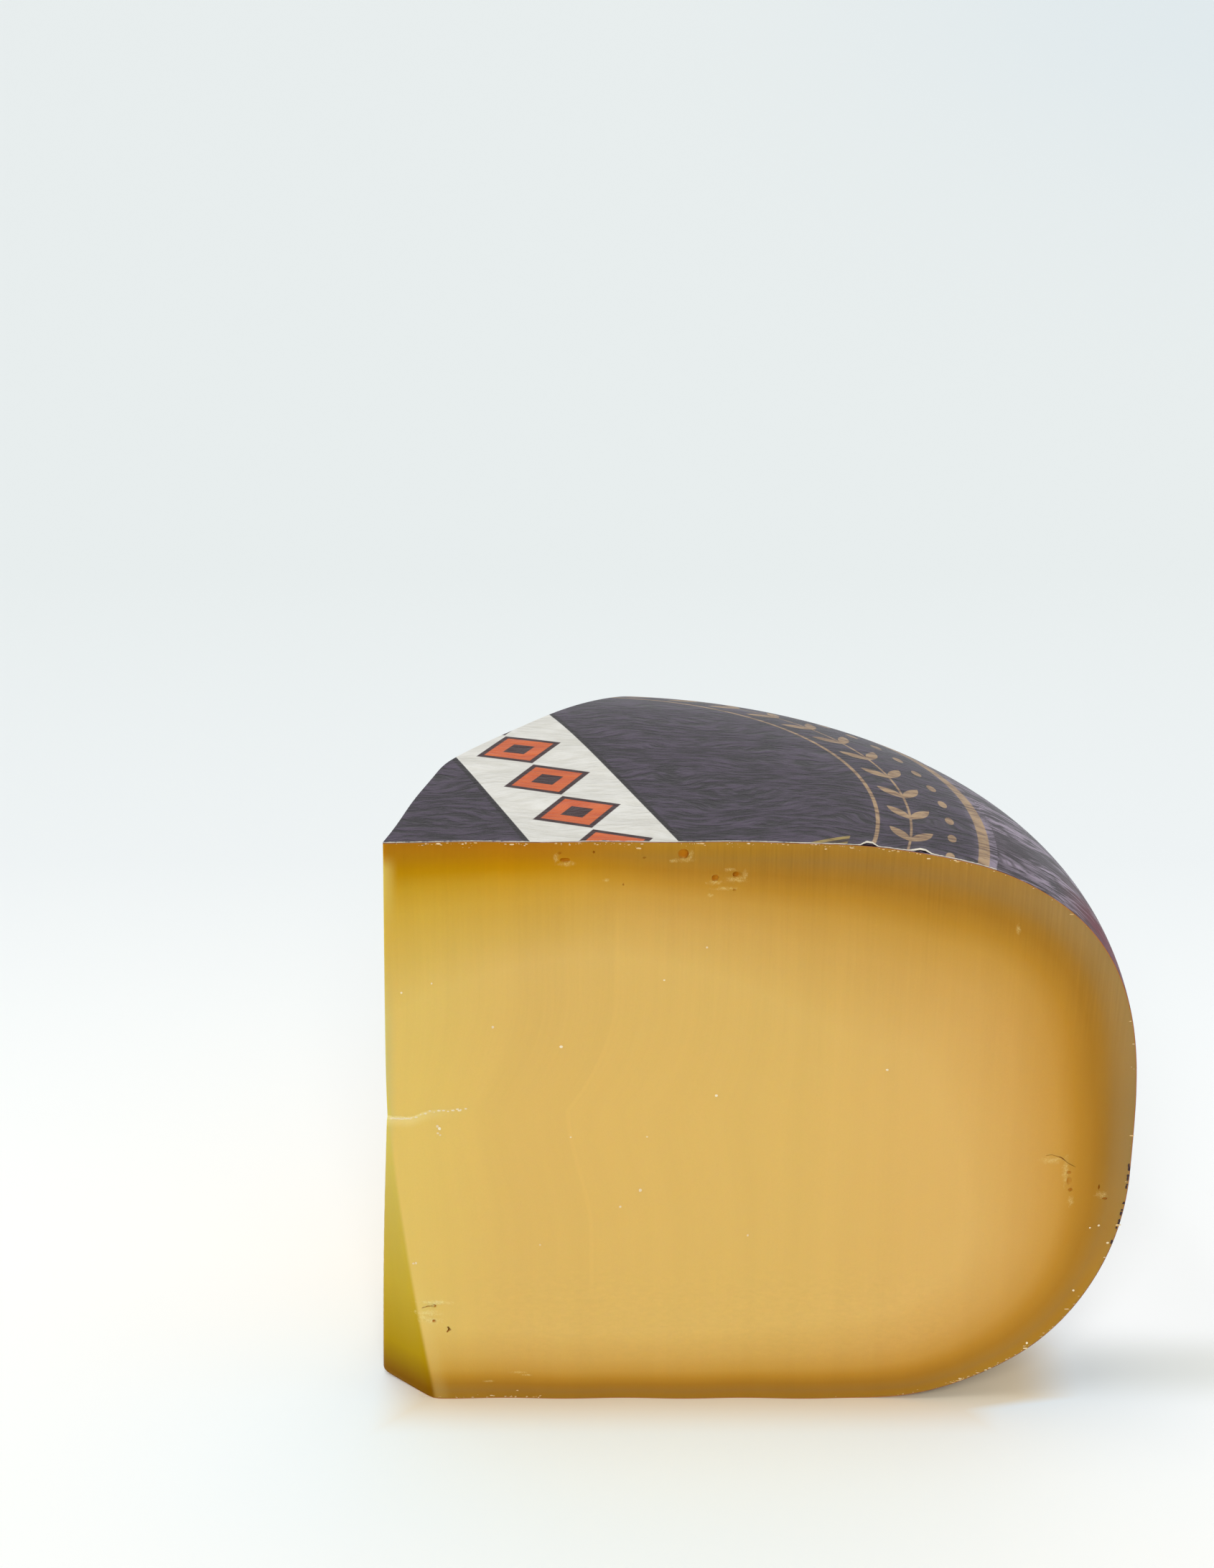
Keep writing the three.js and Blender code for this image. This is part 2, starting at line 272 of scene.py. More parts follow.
# The wheel's axis in the shared frame, from the box of the solids: the rim's outermost point
# is one radius to its right, and the knife's outermost wave lies in front of it.
AXIS_X = cad_high.x / MM - WHEEL_RADIUS
AXIS_Y = cad_low.y / MM + FRONT_CUT + KNIFE_WAVE


def to_frame(points):
    """Points in millimetres from the axis, in metres in the shared frame."""
    return (points + np.array([AXIS_X, AXIS_Y, 0])) * MM


# Shapes of the wheel and of its cuts.


def soft_ramp(t, width):
    """A slope that starts softly at zero: the logarithm of one plus the exponential."""
    return width * np.logaddexp(0, t / width)


def wheel_level(radius, height, inset):
    """Under 1 inside the wheel and 1 on its surface: the sum of both offsets from the rim
    quarter's centre, as parts of its half axes less the inset, raised to the roundness."""
    above = height > WAIST_HEIGHT
    flat = np.where(above, TOP_FLAT_RADIUS, UNDERSIDE_FLAT_RADIUS)
    roundness = np.where(above, TOP_ROUNDNESS, UNDERSIDE_ROUNDNESS)
    half_height = np.where(above, WHEEL_HEIGHT - WAIST_HEIGHT, WAIST_HEIGHT) - inset
    out = np.maximum(radius - flat, 0) / (WHEEL_RADIUS - flat - inset)
    return out**roundness + (np.abs(height - WAIST_HEIGHT) / half_height) ** roundness


def wheel_outline():
    """The wheel's half outline as radius and height, from its underside to its top: two
    superellipse quarters between a flat underside and a flat top."""
    angle = np.linspace(0, math.pi / 2, OUTLINE_STEPS)

    def quarter(flat, depth, roundness):
        radius = flat + (WHEEL_RADIUS - flat) * np.cos(angle) ** (2 / roundness)
        return radius, WAIST_HEIGHT + depth * np.sin(angle) ** (2 / roundness)

    under = quarter(UNDERSIDE_FLAT_RADIUS, -WAIST_HEIGHT, UNDERSIDE_ROUNDNESS)
    over = quarter(TOP_FLAT_RADIUS, WHEEL_HEIGHT - WAIST_HEIGHT, TOP_ROUNDNESS)
    foot = np.linspace(0, UNDERSIDE_FLAT_RADIUS, OUTLINE_STEPS)
    head = np.linspace(TOP_FLAT_RADIUS, 0, OUTLINE_STEPS // 4)
    radius = np.concatenate([foot, under[0][::-1], over[0], head])
    height = np.concatenate([0 * foot, under[1][::-1], over[1], 0 * head + WHEEL_HEIGHT])
    return radius, height


def depth_below_rind(points):
    """How deep each point lies below the wheel's surface: the least distance, in the plane
    through the axis, to the outline."""
    radius = np.hypot(points[:, 0], points[:, 1])
    outline_radius, outline_height = wheel_outline()
    depth = np.empty(len(points))
    for part in np.array_split(np.arange(len(points)), 40):
        out = radius[part, None] - outline_radius
        up = points[part, 2, None] - outline_height
        depth[part] = np.sqrt((out**2 + up**2).min(1))
    return depth


def ridge_height(x):
    """The height of the ridge: level at the front left edge, a quick smooth rise beside it,
    then a gentle slope."""
    share = np.clip((x - RIDGE_BEND[0]) / (RIDGE_BEND[1] - RIDGE_BEND[0]), 0, 1)
    rise = RIDGE_BEND_RISE * share**2 * (3 - 2 * share)
    return RIDGE_HEIGHT + rise + RIDGE_SLOPE * np.maximum(0, x - RIDGE_BEND[1])


def front_relief(x, z):
    """How deep the knife went into the front face: a faint wave, a slight hollow, and the
    step under the ridge where two strokes met, a hyperbolic tangent that fades to the right
    and to the foot."""
    across = np.clip((x - LEFT_CUT) / (WHEEL_RADIUS - LEFT_CUT), 0, 1)
    up = np.clip(z / WHEEL_HEIGHT, 0, 1)
    wave = KNIFE_WAVE * np.sin(2 * math.pi * x / KNIFE_WAVE_LENGTH + up)
    hollow = FACE_HOLLOW * np.sin(math.pi * across) * np.sin(math.pi * up)
    along = np.clip((x - LEFT_CUT) / RIDGE_LENGTH, 0, 1)
    fade = (1 - along) ** 1.5 * np.minimum(1, up * WHEEL_HEIGHT / RIDGE_HEIGHT)
    step = 0.5 + 0.5 * np.tanh((ridge_height(x) - z) / RIDGE_WIDTH)
    return wave + hollow + RIDGE_STEP * fade * step


def left_cut(back, z):
    """The x of the left cut at a distance behind the front face and a height: it leans out
    towards the foot, more so and in a slight belly below the ridge, and turns inwards at the
    back."""
    down = 1 - z / WHEEL_HEIGHT
    below_ridge = np.maximum(0, down - (1 - RIDGE_HEIGHT / WHEEL_HEIGHT))
    lean = LEFT_LEAN * down + LEFT_LEAN_BELOW_RIDGE * below_ridge
    foot_share = np.minimum(1, below_ridge / (RIDGE_HEIGHT / WHEEL_HEIGHT))
    slope = LEFT_CUT_SLOPE + (LEFT_CUT_SLOPE_AT_FOOT - LEFT_CUT_SLOPE) * foot_share
    turn = LEFT_TURN_SLOPE * soft_ramp(back - LEFT_TURN_START, LEFT_TURN_SOFTNESS)
    wave = KNIFE_WAVE * np.sin(2 * math.pi * back / KNIFE_WAVE_LENGTH)
    belly = LEFT_BELLY * np.sin(math.pi * np.clip(z / RIDGE_HEIGHT, 0, 1) ** 0.8)
    belly = belly * np.exp(-np.maximum(0, back) / LEFT_BELLY_REACH)
    return LEFT_CUT - lean - belly + slope * back + turn + wave


def sheet_point(turn, reach, z):
    """A point of the upright sheet that stands on the front left edge, turned by the share
    turn from the front face, at 0, to the left cut, at 1. Its distance from the edge is that
    of the left cut's point reach behind the front face."""
    foot = left_cut(0, z)
    side = left_cut(reach, z) - foot
    distance = np.hypot(side, reach)
    angle = turn * np.arctan2(reach, side)
    x = foot + distance * np.cos(angle)
    y = distance * np.sin(angle) - FRONT_CUT
    return np.stack(np.broadcast_arrays(x, y, z), -1)


def rim_line(turn, tilt, inset):
    """Where rays in a sheet, from the front left edge at the waist's height, meet the wheel:
    reach and height, by halving the interval in which the wheel's level passes 1."""
    near = np.zeros(np.broadcast(turn, tilt).shape)
    far = near + 2 * WHEEL_RADIUS
    for _ in range(RIM_HALVINGS):
        ray = (near + far) / 2
        reach = ray * np.cos(tilt)
        height = WAIST_HEIGHT + ray * np.sin(tilt)
        point = sheet_point(turn, reach, height)
        inside = wheel_level(np.hypot(point[..., 0], point[..., 1]), height, inset) < 1
        near = np.where(inside, ray, near)
        far = np.where(inside, far, ray)
    return reach, height


def row_tilts():
    """Tilts of the rays that divide the front face's outline into steps of equal length."""
    tilt = np.linspace(math.pi / 2, -math.pi / 2, 12 * ROWS)
    reach, height = rim_line(0, tilt, 0)
    step = np.hypot(np.diff(reach), np.diff(height))
    length = np.concatenate([[0], np.cumsum(step)])
    return np.interp(np.linspace(0, length[-1], ROWS + 1), length, tilt)


def eased(count):
    """Shares from 0 to 1 that lie closer together at both ends."""
    even = np.linspace(0, 1, count + 1)
    return EVEN_SHARE * even + (1 - EVEN_SHARE) * (1 - np.cos(math.pi * even)) / 2


def cut_face(turn, columns, inset):
    """The face of one cut, columns by rows: each row runs straight in its sheet from the
    front left edge to the wheel's surface."""
    reach, height = rim_line(turn, row_tilts(), inset)
    edge = np.linspace(height[0], height[-1], ROWS + 1)
    share = eased(columns)[:, None]
    return sheet_point(turn, share * reach, edge + share * (height - edge))


def wheel_face(columns, inset):
    """The wheel's surface between both cuts, columns by rows: one sheet a column."""
    turn = eased(columns)[:, None]
    reach, height = rim_line(turn, row_tilts()[None, :], inset)
    return sheet_point(turn, reach, height)


def pared_plane():
    """A point and the outward normal of the stroke that pared the foot of the front left edge."""
    upper = np.array([left_cut(0, PARED_HEIGHT), RIDGE_STEP - FRONT_CUT, PARED_HEIGHT])
    front = np.array([left_cut(0, 0) + PARED_ALONG_FRONT, -FRONT_CUT, 0])
    rear = np.array([left_cut(PARED_INTO_DEPTH, 0), PARED_INTO_DEPTH - FRONT_CUT, 0])
    normal = np.cross(front - rear, upper - rear)
    return rear, normal / np.linalg.norm(normal)


def past_pared_plane(points):
    """How far points lie outside the pared corner: their distance past its plane, less a
    slight belly at half its height."""
    place, normal = pared_plane()
    belly = PARED_BELLY * np.sin(math.pi * np.clip(points[..., 2] / PARED_HEIGHT, 0, 1))
    return (points - place) @ normal - belly


def pare(points):
    """Points outside the pared corner move level onto it, softly at its edge."""
    normal = pared_plane()[1]
    level = np.array([normal[0], normal[1], 0])
    outside = soft_ramp(past_pared_plane(points), PARED_SOFTNESS)
    return points - outside[..., None] * level / (level @ level)


def wear_foot(points):
    """The left cut and the pared corner draw in at the foot, by a quarter circle that fades
    away from them along X."""
    rise = np.clip(1 - points[..., 2] / FOOT_WEAR, 0, 1)
    reach = points[..., 0] - left_cut(points[..., 1] + FRONT_CUT, points[..., 2])
    fade = np.exp(-np.maximum(0, reach) / FOOT_WEAR_REACH)
    worn = points.copy()
    worn[..., 0] += FOOT_WEAR * (1 - np.sqrt(1 - rise**2)) * fade
    return worn


def cut_to_shape(points):
    """The knife's relief on the front face, fading behind it, then the pared corner and the
    wear of the foot."""
    shaped = points.copy()
    fade = np.exp(-np.maximum(0, points[..., 1] + FRONT_CUT) / RELIEF_REACH)
    shaped[..., 1] += front_relief(points[..., 0], points[..., 2]) * fade
    return wear_foot(pare(shaped))


# Meshes.


def join_grids(grids, turned):
    """Points and quads of grids of points, columns by rows. The quads of the turned ones go
    round the other way."""
    faces = []
    first = 0
    for grid, back in zip(grids, turned):
        at = first + np.arange(grid[..., 0].size).reshape(grid.shape[:2])
        quads = np.stack([at[:-1, :-1], at[1:, :-1], at[1:, 1:], at[:-1, 1:]], -1).reshape(-1, 4)
        faces.append(quads[:, ::-1] if back else quads)
        first += at.size
    return np.concatenate([grid.reshape(-1, 3) for grid in grids]), np.concatenate(faces)


def make_mesh(name, points, faces):
    """A mesh of points in millimetres from the axis and faces by their numbers."""
    mesh = bpy.data.meshes.new(name)
    mesh.from_pydata(to_frame(points), [], faces)
    mesh.validate()
    return mesh


def weld(mesh):
    """Joins a mesh's doubles, which closes its seams and poles, with its faces outwards."""
    shape = bmesh.new()
    shape.from_mesh(mesh)
    bmesh.ops.remove_doubles(shape, verts=shape.verts, dist=1e-7)
    bmesh.ops.dissolve_degenerate(shape, edges=shape.edges, dist=1e-8)
    bmesh.ops.recalc_face_normals(shape, faces=shape.faces)
    shape.to_mesh(mesh)
    shape.free()
    return smooth(mesh)


def smooth(mesh):
    """Shades a mesh smoothly up to its sharp edges."""
    mesh.polygons.foreach_set("use_smooth", np.ones(len(mesh.polygons), bool))
    mesh.set_sharp_from_angle(angle=math.radians(35))
    return mesh


def add_object(name, data):
    """A new object in the scene."""
    added = bpy.data.objects.new(name, data)
    bpy.context.scene.collection.objects.link(added)
    return added


def cut_out(mesh, cutter_mesh):
    """The mesh less a cutter, by one applied Boolean."""
    body = add_object("body", mesh)
    cutter = add_object("cutter", cutter_mesh)
    modifier = body.modifiers.new("cut", "BOOLEAN")
    modifier.operation = "DIFFERENCE"
    modifier.solver = "MANIFOLD"
    modifier.object = cutter
    ready = body.evaluated_get(bpy.context.evaluated_depsgraph_get())
    result = bpy.data.meshes.new_from_object(ready)
    for item in (body, cutter):
        bpy.data.objects.remove(item)
    result.name = mesh.name
    result.materials.clear()
    return smooth(result)


def place_piece(mesh, material, node):
    """Shows a mesh as a piece that rides on the body and stands for a CAD node."""
    mesh.materials.append(material)
    piece = add_object(mesh.name, mesh)
    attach(piece, "root")
    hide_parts(node)


def mesh_points(mesh):
    """A mesh's points in millimetres from the axis."""
    flat = np.empty(3 * len(mesh.vertices), np.float32)
    mesh.vertices.foreach_get("co", flat)
    return flat.reshape(-1, 3) / MM - np.array([AXIS_X, AXIS_Y, 0])


def set_attribute(mesh, name, values):
    """Stores one number for each point of a mesh."""
    attribute = mesh.attributes.new(name, "FLOAT", "POINT")
    attribute.data.foreach_set("value", values.astype(np.float32))


def lumps(places, sizes, seed, columns, rows):
    """Points and faces of small uneven lumps: spheres of columns by rows whose radius swells
    in two seeded waves round them, stretched to their sizes."""
    random = np.random.default_rng(seed)
    around = np.linspace(0, 2 * math.pi, columns + 1)[:, None]
    down = np.linspace(0, math.pi, rows + 1)[None, :]
    phase = random.uniform(0, 2 * math.pi, (2, len(places), 1, 1))
    level = np.sin(down)
    swell = 1
    for waves, strength, start in ((2, 0.24, phase[0]), (3, 0.16, phase[1])):
        swell = swell + strength * np.sin(waves * around + start) * level
    ball = np.stack([np.cos(around) * level, np.sin(around) * level, np.cos(down) + 0 * around], -1)
    grids = places[:, None, None, :] + ball * swell[..., None] * sizes[:, None, None, :] / 2
    return join_grids(grids, [True] * len(grids))


def crack(width, depth, path):
    """Points of a crack's cutter: a diamond profile carried along a path on the front face,
    its width and depth swelling from nothing at both ends as the root of a sine."""
    share = np.linspace(0, 1, CRACK_STEPS + 1)
    path = np.array(path)
    length = np.concatenate([[0], np.cumsum(np.hypot(*np.diff(path, axis=0).T))])
    x = np.interp(share * length[-1], length, path[:, 0])
    z = np.interp(share * length[-1], length, path[:, 1])
    along = np.stack([np.gradient(x), np.gradient(z)])
    along = along / np.hypot(*along)
    swell = np.sqrt(np.sin(math.pi * share)) * (1 + 0.3 * np.sin(5 * math.pi * share))
    corners = np.array([(1, 0), (0, 1), (-1, 0), (0, -0.5), (1, 0)])
    side = corners[:, 0] * swell[:, None] * width / 2
    inwards = corners[:, 1] * swell[:, None] * depth
    y = front_relief(x, z)[:, None] - FRONT_CUT + inwards
    x = x[:, None] - side * along[1][:, None]
    z = z[:, None] + side * along[0][:, None]
    return np.stack([x, y, z], -1)


def on_front(x, z, sink=0.0):
    """Places on the front face at x and height, sunk into it by so much."""
    return np.stack([x, front_relief(x, z) - FRONT_CUT + sink, z], -1)


def pits_mesh():
    """The cutter of all eyes and cracks of the front face."""
    x, z, width, height, depth = np.array(EYES).T
    eyes, eye_faces = lumps(on_front(x, z), np.stack([width, 2 * depth, height], -1), 3, 9, 6)
    cracks, crack_faces = join_grids([crack(*values) for values in CRACKS], [False] * len(CRACKS))
    faces = np.concatenate([eye_faces, crack_faces + len(eyes)])
    return weld(make_mesh("pits", np.concatenate([eyes, cracks]), faces))


def depth_in_pits(points, rind_depth):
    """How deep points lie in an eye or a crack behind the front face, and 0 elsewhere."""
    behind = points[:, 1] + FRONT_CUT - front_relief(points[:, 0], points[:, 2])
    spots = [(x, z, max(width, height)) for x, z, width, height, _ in EYES]
    spots += [(x, z, CRACK_REACH) for _, _, path in CRACKS for x, z in path]
    near = np.zeros(len(points), bool)
    for x, z, reach in spots:
        near |= np.hypot(points[:, 0] - x, points[:, 2] - z) < reach
    near &= (behind < PIT_DEPTHS[1]) & (past_pared_plane(points) < -PIT_TO_PARED)
    near &= rind_depth > PIT_TO_RIND
    return np.where(near, np.clip(behind - PIT_DEPTHS[0], 0, 1), 0)


def rim_direction(points):
    """The direction in which points lie from a middle inside the paste: 0 out to the rim, a
    quarter turn up to the top."""
    radius = np.hypot(points[:, 0], points[:, 1])
    return np.arctan2(points[:, 2] - PASTE_MIDDLE[1], radius - PASTE_MIDDLE[0])


def paste_mesh():
    """The paste: both cut faces and the wheel's surface under the coat, less the pits. Each
    point knows its depth below the rind and in a pit, and how far right of the front left
    edge it lies."""
    front = cut_face(0, FRONT_COLUMNS, COAT_THICKNESS)
    left = cut_face(1, LEFT_COLUMNS, COAT_THICKNESS)
    rim = wheel_face(HIDDEN_COLUMNS, COAT_THICKNESS)
    points, faces = join_grids((front, left, rim), (True, False, True))
    mesh = cut_out(weld(make_mesh("paste", cut_to_shape(points), faces)), pits_mesh())
    points = mesh_points(mesh)
    rind_depth = depth_below_rind(points)
    stretch = 1 + RIND_STRETCH * (1 - np.cos(rim_direction(points) - RIND_DEEPEST)) / 2
    set_attribute(mesh, "rind_depth", rind_depth * stretch)
    set_attribute(mesh, "from_edge", points[:, 0] - left_cut(0, points[:, 2]))
    set_attribute(mesh, "sunk", depth_in_pits(points, rind_depth))
    return mesh


def skin_mesh(name, outside, inside):
    """A thin closed skin: an outer and an inner grid, joined along their two side columns
    and, where they aren't poles, their first and last rows."""
    points, faces = join_grids((outside, inside), (True, False))
    at = np.arange(outside[..., 0].size).reshape(outside.shape[:2])
    strips = [
        np.stack([line[:-1], line[1:], line[1:] + at.size, line[:-1] + at.size], -1)
        for line in (at[0, ::-1], at[:, 0], at[-1, :], at[::-1, -1])
    ]
    return make_mesh(name, cut_to_shape(points), np.concatenate([faces, *strips]))


def coat_mesh():
    """The coat: a skin over the whole of the wheel's surface. Each point knows whether it is
    on the inside."""
    outside = wheel_face(RIM_COLUMNS, SKIN_GAP)
    inside = wheel_face(RIM_COLUMNS, COAT_THICKNESS)
    mesh = skin_mesh("coat", outside, inside)
    set_attribute(mesh, "inner", np.repeat([0.0, 1.0], outside[..., 0].size))
    return weld(mesh)


def top_height(radius, inset):
    """The height of the wheel's top at a radius, from its superellipse."""
    out = np.maximum(radius - TOP_FLAT_RADIUS, 0) / (WHEEL_RADIUS - TOP_FLAT_RADIUS - inset)
    rise = (1 - out**TOP_ROUNDNESS) ** (1 / TOP_ROUNDNESS)
    return WAIST_HEIGHT + (WHEEL_HEIGHT - WAIST_HEIGHT - inset) * rise


def rim_place(share):
    """Places on the front face's outline, by the share of its length from the top corner to
    the foot: x and height, and the inward normal."""
    tilt = row_tilts()
    reach, height = rim_line(0, tilt, COAT_THICKNESS)
    x = sheet_point(0, reach, height)[:, 0]
    even = np.linspace(0, 1, len(tilt))
    inward = np.stack([-np.gradient(height), np.gradient(x)])
    inward = -inward / np.hypot(*inward)
    return [np.interp(share, even, values) for values in (x, height, *inward)]


def crystals(random):
    """White crystals on the front face, in rows of place, sizes and how white each is."""
    x, z = np.array(CRYSTALS).T
    count = len(x)
    width = random.uniform(0.32, 0.56, count)
    height = width * random.uniform(0.8, 1.3, count)
    white = random.uniform(0.6, 1, count)
    return np.column_stack([on_front(x, z, -0.02), width, 0.25 * width, height, white])


def edge_crumbs(random):
    """Rows of crumbs along the front face's outline, most of them at the top and the right."""
    share = np.concatenate([
        random.uniform(0.004, 0.28, 170),
        random.uniform(0.28, 0.64, 26),
        random.normal(0.67, 0.025, 60),
        random.uniform(0.9, 0.975, 40),
    ])
    count = len(share)
    x, z, inward_x, inward_z = rim_place(share)
    inset = random.exponential(0.22, count) + 0.02
    place = on_front(x + inset * inward_x, z + inset * inward_z, -0.02)
    size = random.lognormal(-1.8, 0.5, count)
    width = size * random.uniform(0.8, 2.2, count)
    white = random.uniform(0.1, 0.65, count)
    return np.column_stack([place, width, 0.5 * size, 0.6 * size, white])


def coat_flakes(random):
    """Rows of dark flakes of the coat on the right rim, which have a white of -1."""
    x, z, inward_x, inward_z = rim_place(random.uniform(0.5, 0.575, 17))
    place = on_front(x + 0.1 * inward_x, z + 0.1 * inward_z, 0.05)
    same = np.ones(len(x))
    height = random.uniform(0.3, 1.0, len(x))
    return np.column_stack([place, 0.5 * same, 0.25 * same, height, -same])


def ridge_crumbs(random):
    """Rows of crumbs on the ridge, fewer of them to the right."""
    x = np.concatenate([
        np.linspace(-37.2, -33.8, 12),
        np.linspace(-33.5, -25, 11),
        random.uniform(-25, -21, 4),
    ])
    z = ridge_height(x) + random.normal(0, 0.12, len(x))
    width = random.uniform(0.35, 0.6, len(x))
    white = np.full(len(x), 0.8)
    return np.column_stack([on_front(x, z, 0.05), 1.1 * width, 0.6 * width, 0.8 * width, white])


def crumbs_mesh():
    """White crystals, crumbs along the cut edges and the ridge, and flakes of the coat on the
    rim. Each point says how white it is."""
    random = np.random.default_rng(11)
    kinds = (crystals, edge_crumbs, coat_flakes, ridge_crumbs)
    rows = np.concatenate([kind(random) for kind in kinds])
    points, faces = lumps(rows[:, :3], rows[:, 3:6], 5, 8, 6)
    points[:, 1] = np.maximum(points[:, 1], SKIN_GAP - FRONT_CUT - KNIFE_WAVE)
    mesh = make_mesh("crumbs", points, faces)
    set_attribute(mesh, "white", np.repeat(rows[:, 6], len(points) // len(rows)))
    return weld(mesh)


def label_face(inset):
    """The label, columns by steps: in each sheet it runs from the front left corner to where
    the sheet meets the label's circle, found by halving."""
    turn = eased(LABEL_COLUMNS)[:, None]
    near = np.zeros_like(turn)
    far = near + 2 * LABEL_RADIUS
    for _ in range(LABEL_HALVINGS):
        reach = (near + far) / 2
        point = sheet_point(turn, reach, WHEEL_HEIGHT)
        inside = np.hypot(*np.moveaxis(point[..., :2] - LABEL_CENTRE, -1, 0)) < LABEL_RADIUS
        near = np.where(inside, reach, near)
        far = np.where(inside, far, reach)
    point = sheet_point(turn, reach * np.linspace(0, 1, LABEL_STEPS + 1), WHEEL_HEIGHT)
    point[..., 2] = top_height(np.hypot(point[..., 0], point[..., 1]), inset)
    behind = np.exp(-(((point[..., 1] + FRONT_CUT) / LIFT_REACH) ** 2))
    for x, width, height in LABEL_LIFTS:
        point[..., 2] += height * behind * lift_share(point[..., 0], x, width)
    return point


def lift_share(x, centre, width):
    """1 in the middle of a lift of the label's edge, falling off steeply at both sides."""
    return np.exp(-(((x - centre) / width) ** 4))


def label_mesh():
    """The label: a thin paper skin on the coat. Each point knows its distance behind the
    front cut and how far it is lifted."""
    outside = label_face(-LABEL_PROUD)
    inside = label_face(-SKIN_GAP)
    mesh = skin_mesh("label", outside, inside)
    points = mesh_points(mesh)
    behind = points[:, 1] + FRONT_CUT - front_relief(points[:, 0], points[:, 2])
    lifted = sum(lift_share(points[:, 0], x, 1.4 * width) for x, width, _ in LABEL_LIFTS)
    set_attribute(mesh, "behind", behind)
    set_attribute(mesh, "lifted", lifted)
    return weld(mesh)


# Materials.


def linear(red, green, blue):
    """An sRGB colour in bytes as linear light with full alpha."""
    share = np.array([red, green, blue]) / 255
    light = np.where(share <= 0.04045, share / 12.92, ((share + 0.055) / 1.055) ** 2.4)
    return (*light.tolist(), 1.0)


def joined(operation, turned=False):
    """A method of Value that joins it and another value or number by a Math node."""

    def method(self, other):
        return self.math(operation, *((other, self) if turned else (self, other)))

    return method


class Value:
    """One output socket. Arithmetic with numbers and other values adds Math nodes."""

    __add__ = joined("ADD")
    __radd__ = joined("ADD", True)
    __sub__ = joined("SUBTRACT")
    __rsub__ = joined("SUBTRACT", True)
    __mul__ = joined("MULTIPLY")
    __rmul__ = joined("MULTIPLY", True)
    __truediv__ = joined("DIVIDE")
    __pow__ = joined("POWER")
    smallest = joined("MINIMUM")
    largest = joined("MAXIMUM")

    def __init__(self, paint, socket):
        self.paint = paint
        self.socket = socket

    def math(self, operation, *operands):
        sockets = dict(zip(("Value", "Value_001", "Value_002"), operands))
        return self.paint.node("Math", {"operation": operation}, sockets)

    def __abs__(self):
        return self.math("ABSOLUTE", self)

    def between(self, low, high):
        """0 at low and below, 1 at high and above, smooth between them."""
        sockets = {"Value": self, "From Min": low, "From Max": high}
        settings = {"interpolation_type": "SMOOTHSTEP"}
        return self.paint.node("MapRange", settings, sockets)

    def fading(self, low, high):
        """1 at low and below, 0 at high and above, smooth between them."""
        return 1 - self.between(low, high)

    def band(self, start, full, end, gone):
        """0 up to start, 1 from full to end, and 0 again from gone on."""
        return self.between(start, full) * self.fading(end, gone)

    def line(self, middle, half):
        """1 within a half width of a middle value, and 0 outside it."""
        return abs(self - middle).fading(half - PRINT_BLUR, half + PRINT_BLUR)

    def repeated(self, step):
        """How far it is past the nearest of equal steps."""
        return self.math("FLOORED_MODULO", self + step / 2, step) - step / 2


